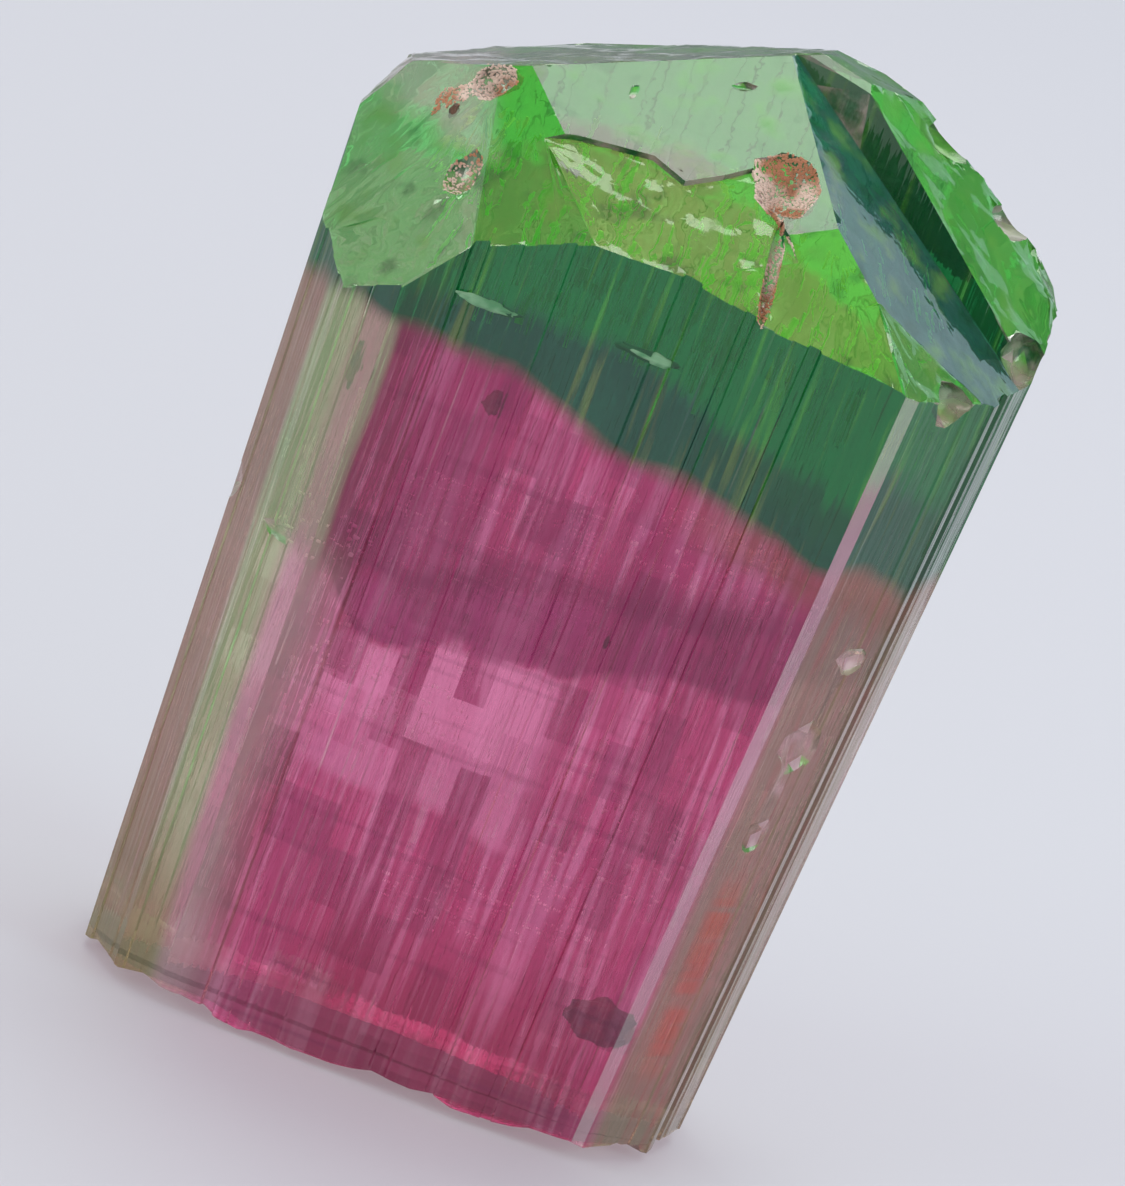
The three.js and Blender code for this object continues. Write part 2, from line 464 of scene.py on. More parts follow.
@dataclass(frozen=True)
class GreenCap:
    """The green top of the prism, lower on the right, with an olive seam under it."""

    dark: Colour = srgb(4, 98, 50)
    back: Colour = srgb(96, 200, 104)
    bright: Colour = srgb(112, 214, 62)
    olive: Colour = srgb(140, 88, 46)
    height: float = 17.3
    slope: float = 0.2
    slope_shift: float = 0.6
    slope_start: float = -2.4
    seam_height: Span = (-0.9, 0.3)
    seam_fade: float = 0.5
    seam_side: Span = (1.0, 3.5)
    seam_share: float = 0.6
    border: Span = (-0.2, 0.4)
    depth: Span = (-1.0, 3.0)
    streaks: Span = (0.55, 0.75)
    streak_share: float = 0.35

    def paint(self, graph: Graph, here: Survey, under: Sig) -> Sig:
        """Paints the cap over the colours below it.

        Args:
            graph: The material's nodes.
            here: What the colours go by.
            under: The colour so far.

        Returns:
            The colour with the cap.
        """
        border = self.height - (here.across + self.slope_shift).most(self.slope_start) * self.slope
        above = here.level - border
        seam = above.band(*self.seam_height, self.seam_fade) * here.across.rise(*self.seam_side)
        colour = graph.mix(seam * self.seam_share, under, self.olive)
        green = graph.mix(here.y.rise(*self.depth), self.dark, self.back)
        green = graph.mix(here.streak.rise(*self.streaks) * self.streak_share, green, self.bright)
        return graph.mix(above.rise(*self.border), colour, green)


@dataclass(frozen=True)
class CrownTints:
    """How the colours of the crown's faces vary: bright and deep patches, and a paler top-left corner."""

    bright: Colour = srgb(112, 214, 62)
    deep: Colour = srgb(10, 100, 40)
    pale_corner: Colour = srgb(232, 240, 216)
    bright_patches: Span = (0.5, 0.75)
    bright_share: float = 0.6
    deep_patches: Span = (0.44, 0.28)
    deep_share: float = 0.5
    pale_corner_slope: float = 0.5
    pale_corner_side: Span = (6.4, 5.2)
    pale_corner_height: Span = (22.2, 22.9)
    pale_corner_share: float = 0.8

    def paint(self, graph: Graph, here: Survey) -> Sig:
        """Paints the crown.

        Args:
            graph: The material's nodes.
            here: What the colours go by.

        Returns:
            The colour.
        """
        tint = graph.attribute(Mark.TINT, "Color")
        colour = graph.mix(here.lump.rise(*self.bright_patches) * self.bright_share, tint, self.bright)
        colour = graph.mix(here.lump.rise(*self.deep_patches) * self.deep_share, colour, self.deep)
        # Paler towards the top-left corner of the crown.
        pale_corner = (here.across + here.z * self.pale_corner_slope).rise(*self.pale_corner_side)
        pale_corner = pale_corner * (here.z + here.lump).rise(*self.pale_corner_height)
        return graph.mix(pale_corner * self.pale_corner_share, colour, self.pale_corner)


@dataclass(frozen=True)
class TourmalineFinish:
    """The clear crystal: its colour zones, its grain, its gloss and how it lets light through."""

    pink: PinkZone = PinkZone()
    rim: LeftRim = LeftRim()
    side: RightSide = RightSide()
    cap: GreenCap = GreenCap()
    crown: CrownTints = CrownTints()
    # Painted highlight: a whitish line along the right front edge, standing in for the glint of a light on
    # that bevel.
    edge_highlight: Colour = srgb(226, 206, 210)
    edge_highlight_share: float = 0.7
    bruised: Colour = srgb(236, 214, 206)
    bruises: Span = (0.4, 0.6)
    bruise_share: float = 0.7
    striations: Grain = Grain((6.0, 6.0, 0.05), 2.0)
    lumps: Grain = Grain((1.0, 1.0, 1.0), 3.0)
    waves: Grain = Grain((0.4, 0.4, 0.25), 1.0)
    streaks: Grain = Grain((4.2, 4.2, 0.14), 2.0)
    lines: Grain = Grain((0.2, 0.2, 3.2), 1.0)
    blocks_per_mm: Point = (1.3, 0.4, 0.7)
    wave_height: float = 1.6
    least_cover: float = 0.7
    streak_cover: float = 0.4
    striation_height: float = 0.025
    crown_height: float = 0.03
    broken_height: float = 0.1
    ledge_slope: float = 0.09
    polish: float = 0.04
    broken_roughness: float = 0.2
    edge_highlight_roughness: float = 0.15
    crown_roughness: float = 0.2
    dull_patches: Span = (0.5, 0.8)
    clearness: float = 0.7
    refraction: float = 1.63
    shadow_tint: Colour = (0.84, 0.74, 0.77)
    absorption: Colour = (0.93, 0.88, 0.88)
    absorption_per_metre: float = 25.0

    def survey(self, graph: Graph) -> Survey:
        """Works out what the colours go by.

        Args:
            graph: The material's nodes.

        Returns:
            The values at a point of the surface.
        """
        at = graph.place()
        x, y, z = graph.axes(at)
        taper = BASE_SCALE + (1 - BASE_SCALE) / SHOULDER_Z * z
        wave = graph.grain(at, self.waves) - 0.5
        streak = graph.grain(at, self.streaks)
        return Survey(
            across=x / taper,
            y=y,
            z=z,
            wave=wave,
            level=z + wave * self.wave_height,
            streak=streak,
            cover=self.least_cover + streak * self.streak_cover,
            fine=graph.grain(at, self.striations),
            line=graph.grain(at, self.lines),
            tile=graph.blocks(at, self.blocks_per_mm),
            lump=graph.grain(at, self.lumps),
        )

    def material(self) -> bpy.types.Material:
        """Builds the crystal's material.

        Returns:
            The material, coloured by the place in the crystal and by its faces.
        """
        graph = Graph("tourmaline")
        here = self.survey(graph)
        crown = graph.attribute(Mark.CROWN)
        broken = graph.attribute(Mark.BROKEN)
        ledge = graph.attribute(Mark.LEDGE)
        edge_highlight = graph.attribute(Mark.EDGE_HIGHLIGHT)
        colour = self.pink.paint(graph, here)
        colour = self.rim.paint(graph, here, colour)
        colour = self.side.paint(graph, here, colour)
        colour = self.cap.paint(graph, here, colour)
        # Painted highlight: whitens the faces along the right front edge.
        colour = graph.mix(edge_highlight * self.edge_highlight_share, colour, self.edge_highlight)
        colour = graph.mix(crown, colour, self.crown.paint(graph, here))
        colour = graph.mix(broken * here.lump.rise(*self.bruises) * self.bruise_share, colour, self.bruised)
        height = here.fine * (1 - crown) * self.striation_height
        height = height + here.lump * (crown * self.crown_height + broken * self.broken_height)
        height = height + ledge * here.y * self.ledge_slope
        roughness = self.polish + broken * self.broken_roughness + edge_highlight * self.edge_highlight_roughness
        roughness = roughness + crown * here.lump.rise(*self.dull_patches) * self.crown_roughness
        links = {
            "Base Color": colour,
            "Roughness": roughness,
            "IOR": self.refraction,
            "Transmission Weight": self.clearness,
            "Normal": graph.bump(height),
        }
        glass = graph.node("ShaderNodeBsdfPrincipled", {}, links)
        shade = graph.node("ShaderNodeBsdfTransparent", {}, {0: self.shadow_tint})
        ray = graph.node("ShaderNodeLightPath", {}, {}, "Is Shadow Ray")
        surface = graph.node("ShaderNodeMixShader", {}, {0: ray, 1: glass, 2: shade})
        depth = {"Color": self.absorption, "Density": self.absorption_per_metre}
        volume = graph.node("ShaderNodeVolumeAbsorption", {}, depth)
        return graph.close(Surface=surface, Volume=volume)


@dataclass(frozen=True)
class StoneFinish:
    """A cloudy stone: two tones in grains, and its roughness."""

    name: str
    tone: Colour
    other_tone: Colour
    waves: float
    roughness: float
    tone_border: Span = (0.4, 0.62)
    detail: float = 1.0
    mottle: float = 0.2

    def material(self) -> bpy.types.Material:
        """Builds the stone's material.

        Returns:
            The material.
        """
        graph = Graph(self.name)
        speck = graph.grain(graph.place(), Grain((self.waves, self.waves, self.waves), self.detail))
        links = {
            "Base Color": graph.mix(speck.rise(*self.tone_border), self.tone, self.other_tone),
            "Roughness": self.roughness + speck * self.mottle,
        }
        return graph.close(Surface=graph.node("ShaderNodeBsdfPrincipled", {}, links))


def metres(point: Point) -> list[float]:
    """Turns a point in millimetres into metres."""
    return [value * MM for value in point]


def stand(name: str, data: bpy.types.ID) -> bpy.types.Object:
    """Makes an object and puts it in the scene.

    Args:
        name: The object's name.
        data: Its mesh, light or camera.

    Returns:
        The object.
    """
    piece = bpy.data.objects.new(name, data)
    bpy.context.scene.collection.objects.link(piece)
    return piece


class Plan:
    """A Geometry Nodes tree with named inputs, run on an object and made a plain mesh."""

    def __init__(self, name: str, **inputs: str) -> None:
        """Starts a tree that takes and gives a mesh.

        Args:
            name: The tree's name.
            inputs: The kind of socket of each further input; a material comes last.
        """
        self.tree = bpy.data.node_groups.new(name, "GeometryNodeTree")
        self.identifiers: dict[str, str] = {}
        kinds = {"Geometry": "Geometry", **inputs, "Material": "Material"}
        for label, kind in kinds.items():
            socket = self.tree.interface.new_socket(label, in_out="INPUT", socket_type=f"NodeSocket{kind}")
            self.identifiers[label] = socket.identifier
        self.tree.interface.new_socket("Geometry", in_out="OUTPUT", socket_type="NodeSocketGeometry")
        self.start = self.tree.nodes.new("NodeGroupInput")
        self.end = self.tree.nodes.new("NodeGroupOutput")

    def given(self, name: str) -> bpy.types.NodeSocket:
        """The socket that holds a named input."""
        return self.start.outputs[name]

    def node(self, kind: str, settings: dict[str, Any], links: dict[Any, Any], out: Any = 0) -> Any:
        """Adds a node.

        Args:
            kind: The node's type.
            settings: Its properties, set first.
            links: A value or a socket for each of its sockets, by name or place.
            out: The output that is wanted, by name or place.

        Returns:
            The wanted output's socket.
        """
        made = self.tree.nodes.new(kind)
        for name, value in settings.items():
            setattr(made, name, value)
        for place, value in links.items():
            if isinstance(value, bpy.types.NodeSocket):
                self.tree.links.new(value, made.inputs[place])
            else:
                made.inputs[place].default_value = value
        return made.outputs[out]

    def chance(self, span: Span, seed: Any) -> bpy.types.NodeSocket:
        """A random number for each point."""
        links = {2: span[0], 3: span[1], "Seed": seed}
        return self.node("FunctionNodeRandomValue", {"data_type": "FLOAT"}, links, 1)

    def close(self, shape: bpy.types.NodeSocket) -> None:
        """Ends the tree: instances made real, and the material set.

        Args:
            shape: What the tree has made.
        """
        real = self.node("GeometryNodeRealizeInstances", {}, {0: shape})
        done = self.node("GeometryNodeSetMaterial", {}, {0: real, "Material": self.given("Material")})
        self.tree.links.new(done, self.end.inputs[0])

    def run(self, name: str, start: bpy.types.Mesh, values: dict[str, Any]) -> bpy.types.Object:
        """Runs the tree.

        Args:
            name: The name of the piece that it makes.
            start: The mesh that the tree starts from.
            values: A value for each named input.

        Returns:
            The piece, with a plain mesh and no modifier.
        """
        piece = stand(name, start)
        modifier = piece.modifiers.new("plan", "NODES")
        modifier.node_group = self.tree
        for label, value in values.items():
            modifier[self.identifiers[label]] = value
        shown = piece.evaluated_get(bpy.context.evaluated_depsgraph_get())
        mesh = bpy.data.meshes.new_from_object(shown)
        piece.modifiers.clear()
        piece.data = mesh
        mesh.name = name
        return piece


def ragged(point: Vector) -> float:
    """Noise in three octaves, on both sides of zero."""
    return noise.fractal(point, 1.0, 2.0, 3)


def adopt(piece: bpy.types.Object) -> bpy.types.Object:
    """Lets a piece ride with the crystal and take its slot.

    Args:
        piece: The piece.

    Returns:
        The same piece.
    """
    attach(piece, BODY)
    return piece


@dataclass(frozen=True)
class GrowthFace:
    """A face of the crown: which way it looks, its colour, and how high its growth steps stand."""

    name: str
    azimuth: float
    tilt: float
    tint: Colour
    relief: float = 0.05

    def normal(self) -> Vector:
        """Works out which way the face looks.

        Returns:
            Its outward direction.
        """
        turn = math.radians(self.azimuth)
        lean = math.radians(self.tilt)
        return Vector((math.sin(lean) * math.cos(turn), math.sin(lean) * math.sin(turn), math.cos(lean)))


@dataclass
class CrystalBody:
    """The crystal's outside, refined from its solid."""

    finish: TourmalineFinish = TourmalineFinish()
    merge_metres: float = 1e-7
    cut_metres: float = 1e-8
    broken_edge: float = 1.5
    sharp_angle: float = 7.0
    broken_sharp_angle: float = 55.0
    crown_rise: float = 0.3
    flatness: float = 0.9998
    grid_pitch: float = 0.25
    step_waves: float = 0.75
    step_count: float = 3.0
    step_slope: float = 0.35
    ledge_relief: float = 0.07
    crown_sharp_angle: float = 40.0
    ledge_face: str = "front pyramid"
    ledge_depth: float = 0.1
    # The faces that carry the painted highlight: upright faces that look this way, within the spread.
    edge_highlight_azimuth: float = -49.0
    edge_highlight_spread: float = 7.0
    front_point: Point = (0.0, -3.9, 23.37)
    # Painted light: the front pyramid below the ledge is tinted a brighter green, standing in for light
    # shining through the crown.
    ledge_lit_through_tint: Colour = srgb(128, 238, 80)
    faces: tuple[GrowthFace, ...] = (
        GrowthFace("front pyramid", -92, 33, srgb(104, 164, 100), 0.0),
        GrowthFace("left ridge", 160, 23, srgb(150, 204, 136), 0.08),
        GrowthFace("left front shoulder", -138, 63, srgb(142, 246, 142), 0.1),
        GrowthFace("left shoulder", 178, 60, srgb(130, 206, 112), 0.1),
        GrowthFace("left front bevel", -115, 50, srgb(82, 220, 54)),
        GrowthFace("right front bevel", -80, 45, srgb(120, 240, 70)),
        GrowthFace("crest", 12, 9, srgb(110, 196, 110), 0.1),
        GrowthFace("right pyramid", -37, 39.6, srgb(80, 212, 64), 0.12),
        GrowthFace("right shoulder", -4, 52, srgb(90, 196, 74), 0.12),
        GrowthFace("step", -24.4, 33.2, srgb(36, 128, 104), 0.03),
        GrowthFace("right back", 48, 42, srgb(74, 140, 66)),
        GrowthFace("back pyramid", 95, 41, srgb(74, 140, 66)),
        GrowthFace("back left shoulder", 135, 58, srgb(80, 140, 72)),
    )

    def build(self) -> bpy.types.Object:
        """Copies the solid, merges it and gives it its attributes.

        Returns:
            The crystal's object.
        """
        mesh = bpy.data.meshes.new("crystal_surface")
        work = bmesh.new()
        work.from_mesh(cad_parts[NODE].data)
        bmesh.ops.remove_doubles(work, verts=work.verts, dist=self.merge_metres)
        self.grid(work)
        self.mark(work, self.step(work))
        work.to_mesh(mesh)
        work.free()
        return stand("crystal_surface", mesh)

    def best(self, each: bmesh.types.BMFace) -> GrowthFace:
        """Finds the crown face that a mesh face belongs to."""
        return max(self.faces, key=lambda face: face.normal().dot(each.normal))

    def on_crown(self, each: bmesh.types.BMFace) -> bool:
        """Tells whether a mesh face lies flat on one of the crown's faces."""
        return each.normal.z > self.crown_rise and self.best(each).normal().dot(each.normal) > self.flatness

    def grid(self, work: bmesh.types.BMesh) -> None:
        """Cuts the crown's flat faces into a fine grid, so that growth steps can stand on them.

        Args:
            work: The crystal's mesh.
        """
        low, high = CAD_BOX
        top = [each for each in work.faces if self.on_crown(each)]
        for axis in (0, 1):
            across = Vector((1.0, 0.0, 0.0)) if axis == 0 else Vector((0.0, 1.0, 0.0))
            count = int((high[axis] - low[axis]) / (self.grid_pitch * MM))
            for place in range(1, count):
                point = across * (low[axis] + place * self.grid_pitch * MM)
                edges = {edge for each in top for edge in each.edges}
                corners = {corner for each in top for corner in each.verts}
                cut = bmesh.ops.bisect_plane(
                    work,
                    geom=[*top, *edges, *corners],
                    plane_co=point,
                    plane_no=across,
                    dist=self.cut_metres,
                )
                top = [each for each in cut["geom"] if isinstance(each, bmesh.types.BMFace)]
        bmesh.ops.triangulate(work, faces=[each for each in work.faces if len(each.verts) > 4])
        work.normal_update()

    def step(self, work: bmesh.types.BMesh) -> dict[int, GrowthFace]:
        """Raises and lowers the grid's inner corners in growth steps.

        Args:
            work: The crystal's mesh, with its grid.

        Returns:
            The crown face of each mesh face that lies on one, by the mesh face's number.
        """
        owner = {each: self.best(each) if self.on_crown(each) else None for each in work.faces}
        for corner in work.verts:
            owners = {owner[each] for each in corner.link_faces}
            face = owners.pop()
            if owners or face is None:
                continue
            each = corner.link_faces[0]
            relief = self.ledge_relief if self.on_ledge(each, face) else face.relief
            wander = ragged(corner.co / MM * self.step_waves) * self.step_count
            level = math.floor(wander)
            rise = min(1.0, (wander - level) / self.step_slope)
            corner.co += face.normal() * (level + rise) / self.step_count * relief * MM
            corner.co.z = min(corner.co.z, CAD_BOX[1][2])
        work.normal_update()
        work.faces.index_update()
        return {each.index: face for each, face in owner.items() if face is not None}

    def mark(self, work: bmesh.types.BMesh, flat: dict[int, GrowthFace]) -> None:
        """Marks each face with how it came to be, its tint and the painted edge highlight, and each edge as
        sharp or soft.

        Args:
            work: The crystal's mesh.
            flat: The crown face of each mesh face that lies on one, by number.
        """
        numbers = (Mark.CROWN, Mark.BROKEN, Mark.LEDGE, Mark.EDGE_HIGHLIGHT)
        layers = {each: work.faces.layers.float.new(each.value) for each in numbers}
        tint = work.faces.layers.float_color.new(Mark.TINT.value)
        limit = self.broken_edge * MM
        for each in work.faces:
            each.smooth = True
            best = flat.get(each.index) or self.best(each)
            below = self.on_ledge(each, best)
            azimuth = math.degrees(math.atan2(each.normal.y, each.normal.x))
            upright = each.index not in flat and each.normal.z < self.crown_rise
            small = all(edge.calc_length() < limit for edge in each.edges)
            # Painted highlight: upright faces that look towards the right front carry the whitened edge.
            highlighted = upright and abs(azimuth - self.edge_highlight_azimuth) < self.edge_highlight_spread
            each[layers[Mark.CROWN]] = 0.0 if upright else 1.0
            each[layers[Mark.BROKEN]] = 1.0 if small and each.index not in flat else 0.0
            each[layers[Mark.LEDGE]] = 1.0 if below else 0.0
            each[layers[Mark.EDGE_HIGHLIGHT]] = 1.0 if highlighted else 0.0
            # Below the ledge the tint is the brighter green of painted light shining through the crown.
            each[tint] = (*(self.ledge_lit_through_tint if below else best.tint), 1.0)
        for edge in work.edges:
            angle = math.degrees(edge.calc_face_angle(0.0))
            tints = {tuple(each[tint]) for each in edge.link_faces}
            inside = all(each[layers[Mark.BROKEN]] > 0.5 for each in edge.link_faces)
            within = len(tints) == 1 and all(each[layers[Mark.CROWN]] > 0.5 for each in edge.link_faces)
            sharp = self.broken_sharp_angle if inside else self.sharp_angle
            edge.smooth = angle < (self.crown_sharp_angle if within else sharp)

    def on_ledge(self, each: bmesh.types.BMFace, best: GrowthFace) -> bool:
        """Tells whether a mesh face is on the lower part of the crown face that has the ledge.

        Args:
            each: The mesh face.
            best: The crown face that it belongs to.

        Returns:
            True below the ledge.
        """
        if best.name != self.ledge_face:
            return False
        depth = best.normal().dot(each.calc_center_median() / MM - Vector(self.front_point))
        return depth < -self.ledge_depth

    def dress(self, piece: bpy.types.Object) -> None:
        """Gives the crystal its material."""
        piece.data.materials.append(self.finish.material())

    def place(self) -> list[bpy.types.Object]:
        """Builds and dresses the crystal, and lets it stand for its solid.

        Returns:
            The crystal, in a list.
        """
        piece = self.build()
        self.dress(piece)
        adopt(piece)
        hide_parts(NODE)
        return [piece]


@dataclass
class GrowthTubes:
    """Fine tubes inside the crystal, along its length, in the box between two corners."""

    name: str
    count: int
    low: Point
    high: Point
    length: float
    seed: int
    finish: StoneFinish
    radius: float = 0.05
    sides: int = 5
    widths: Span = (0.35, 1.0)
    reaches: Span = (0.15, 1.0)
    reach_seed: int = 5

    def plan(self) -> Plan:
        """Draws the tree: points in a box, each with a slim tube.

        Returns:
            The tree.
        """
        plan = Plan(
            "growth tubes",
            Count="Int",
            Low="Vector",
            High="Vector",
            Radius="Float",
            Length="Float",
            Seed="Int",
        )
        box = {0: plan.given("Low"), 1: plan.given("High"), "Seed": plan.given("Seed")}
        spot = plan.node("FunctionNodeRandomValue", {"data_type": "FLOAT_VECTOR"}, box)
        points = plan.node("GeometryNodePoints", {}, {"Count": plan.given("Count"), "Position": spot})
        size = {"Vertices": self.sides, "Radius": plan.given("Radius"), "Depth": plan.given("Length")}
        tube = plan.node("GeometryNodeMeshCylinder", {}, size)
        width = plan.chance(self.widths, plan.given("Seed"))
        reach = plan.chance(self.reaches, self.reach_seed)
        scale = plan.node("ShaderNodeCombineXYZ", {}, {0: width, 1: width, 2: reach})
        links = {"Points": points, "Instance": tube, "Scale": scale}
        plan.close(plan.node("GeometryNodeInstanceOnPoints", {}, links))
        return plan

    def place(self) -> list[bpy.types.Object]:
        """Builds and dresses the tubes.

        Returns:
            The tubes as one piece, in a list.
        """
        values = {
            "Count": self.count,
            "Low": metres(self.low),
            "High": metres(self.high),
            "Radius": self.radius * MM,
            "Length": self.length * MM,
            "Seed": self.seed,
            "Material": self.finish.material(),
        }
        return [adopt(self.plan().run(self.name, bpy.data.meshes.new("start"), values))]


PINK_TUBES = GrowthTubes(
    name="growth_tubes_pink",
    count=150,
    low=(-5.4, -4.7, 2.4),
    high=(5.4, 3.6, 14.8),
    length=3.2,
    seed=11,
    finish=StoneFinish("growth tube", srgb(255, 220, 236), srgb(244, 170, 208), 2.0, 0.3),
)
GREEN_TUBES = GrowthTubes(
    name="growth_tubes_green",
    count=170,
    low=(-5.2, -5.2, 18.9),
    high=(5.0, 1.0, 21.2),
    length=1.7,
    seed=29,
    finish=StoneFinish("green growth tube", srgb(236, 255, 180), srgb(170, 236, 100), 2.0, 0.3),
)


@dataclass(frozen=True)
class Veil:
    """One healed crack: its middle, size and turns in degrees."""

    centre: Point
    size: Span
    turns: Point


@dataclass
class HealedVeils:
    """Cracks that healed inside the crystal and left sheets of tiny droplets."""

    veils: tuple[Veil, ...] = (
        Veil((-5.6, -4.3, 12.2), (2.2, 1.6), (70, 10, -20)),
        Veil((-3.2, -3.0, 9.3), (4.0, 2.6), (80, 0, 12)),
        Veil((3.4, -3.2, 7.6), (3.6, 3.0), (64, 8, -14)),
        Veil((1.0, -2.0, 4.6), (5.0, 2.4), (40, -12, 8)),
        Veil((2.6, -2.6, 14.8), (4.2, 1.8), (76, 6, 6)),
        Veil((-1.8, 1.6, 12.6), (5.2, 3.2), (70, -10, 20)),
    )
    rows: int = 14
    swell_per_metre: float = 900.0
    swell_detail: float = 1.0
    swell: float = 0.9
    droplet: float = 0.07
    droplet_widths: Span = (0.25, 1.0)
    droplet_flatness: float = 0.25
    per_square: float = 11.0
    seed: int = 7
    across_seed: int = 3
    along_seed: int = 4
    finish: StoneFinish = StoneFinish("healed veil", srgb(255, 232, 240), srgb(250, 196, 220), 2.0, 0.25)

    def plan(self) -> Plan:
        """Draws the tree: a wavy sheet, scattered with flat droplets.

        Returns:
            The tree.
        """
        plan = Plan(
            "healed veil",
            Centre="Vector",
            Turns="Rotation",
            Width="Float",
            Height="Float",
            Droplet="Float",
            Density="Float",
            Seed="Int",
        )
        size = {"Size X": plan.given("Width"), "Size Y": plan.given("Height"), 2: self.rows, 3: self.rows}
        sheet = plan.node("GeometryNodeMeshGrid", {}, size)
        waves = {"Scale": self.swell_per_metre, "Detail": self.swell_detail}
        swell = plan.node("ShaderNodeTexNoise", {}, waves)
        lift = plan.node("ShaderNodeMath", {"operation": "MULTIPLY"}, {0: swell, 1: self.swell * MM})
        offset = plan.node("ShaderNodeCombineXYZ", {}, {2: lift})
        wavy = plan.node("GeometryNodeSetPosition", {}, {0: sheet, "Offset": offset})
        spread = {0: wavy, "Density": plan.given("Density"), "Seed": plan.given("Seed")}
        points = plan.node("GeometryNodeDistributePointsOnFaces", {}, spread)
        ball = {"Radius": plan.given("Droplet"), "Subdivisions": 1}
        drop = plan.node("GeometryNodeMeshIcoSphere", {}, ball)
        across = plan.chance(self.droplet_widths, self.across_seed)
        along = plan.chance(self.droplet_widths, self.along_seed)
        scale = plan.node("ShaderNodeCombineXYZ", {}, {0: across, 1: along, 2: self.droplet_flatness})
        links = {"Points": points, "Instance": drop, "Scale": scale}
        drops = plan.node("GeometryNodeInstanceOnPoints", {}, links)
        moved = {0: drops, "Translation": plan.given("Centre"), "Rotation": plan.given("Turns")}
        plan.close(plan.node("GeometryNodeTransform", {}, moved))
        return plan

    def place(self) -> list[bpy.types.Object]:
        """Builds and dresses each veil.

        Returns:
            The veils.
        """
        plan = self.plan()
        material = self.finish.material()
        pieces = []
        for place, veil in enumerate(self.veils):
            values = {
                "Centre": metres(veil.centre),
                "Turns": [math.radians(value) for value in veil.turns],
                "Width": veil.size[0] * MM,
                "Height": veil.size[1] * MM,
                "Droplet": self.droplet * MM,
                "Density": self.per_square / MM ** 2,
                "Seed": self.seed + place,
                "Material": material,
            }
            pieces.append(adopt(plan.run(f"healed_veil_{place + 1}", bpy.data.meshes.new("start"), values)))
        return pieces


@dataclass(frozen=True)
class Lump:
    """One grain inside the crystal: its name, middle and half-sizes."""

    name: str
    centre: Point
    half: Point


@dataclass
class Inclusions:
    """Grains that the crystal grew around."""

    lumps: tuple[Lump, ...]
    finish: StoneFinish
    fineness: int = 3
    roughening: float = 0.35
    waves: float = 1.6

    def build(self, lump: Lump) -> bpy.types.Object:
        """Makes one ragged grain.

        Args:
            lump: The grain.

        Returns:
            Its object.
        """
        mesh = bpy.data.meshes.new(lump.name)
        work = bmesh.new()
        bmesh.ops.create_icosphere(work, subdivisions=self.fineness, radius=1.0)
        for vertex in work.verts:
            swell = 1 + self.roughening * ragged(vertex.co * self.waves + Vector(lump.centre))
            point = Vector(a * b for a, b in zip(vertex.co, lump.half)) * swell
            vertex.co = (point + Vector(lump.centre)) * MM
        work.to_mesh(mesh)
        work.free()
        return stand(lump.name, mesh)

    def place(self) -> list[bpy.types.Object]:
        """Builds and dresses the grains.

        Returns:
            The grains.
        """
        material = self.finish.material()
        pieces = []
        for lump in self.lumps:
            piece = self.build(lump)
            piece.data.materials.append(material)
            pieces.append(adopt(piece))
        return pieces


DARK_GRAINS = Inclusions(
    lumps=(
        Lump("inclusion_low", (4.45, -5.15, 3.5), (0.85, 0.3, 0.55)),
        Lump("inclusion_left", (-6.2, -4.3, 16.4), (0.16, 0.2, 0.6)),
        Lump("inclusion_high", (-3.1, -5.2, 16.9), (0.2, 0.12, 0.3)),
        Lump("inclusion_middle", (1.4, -5.2, 12.4), (0.08, 0.1, 0.16)),
        Lump("inclusion_shoulder", (-6.46, -2.81, 22.47), (0.14, 0.14, 0.2)),
    ),
    finish=StoneFinish("dark inclusion", srgb(52, 40, 24), srgb(104, 74, 54), 2.4, 0.5),
)
PALE_FLAKES = Inclusions(
    lumps=(
        Lump("flake_left", (-4.0, -6.13, 19.2), (0.8, 0.09, 0.14)),
        Lump("flake_right", (-0.1, -6.2, 19.45), (0.8, 0.09, 0.14)),
    ),
    finish=StoneFinish("pale flake", srgb(124, 168, 128), srgb(84, 140, 96), 2.4, 0.3),
)


@dataclass(frozen=True)
class Stain:
    """A patch of crust: its name, middle, reach, grains per square millimetre, and where it spills over."""

    name: str
    centre: Point
    reach: Point
    per_square: float
    spill: tuple[Point, ...] = ()


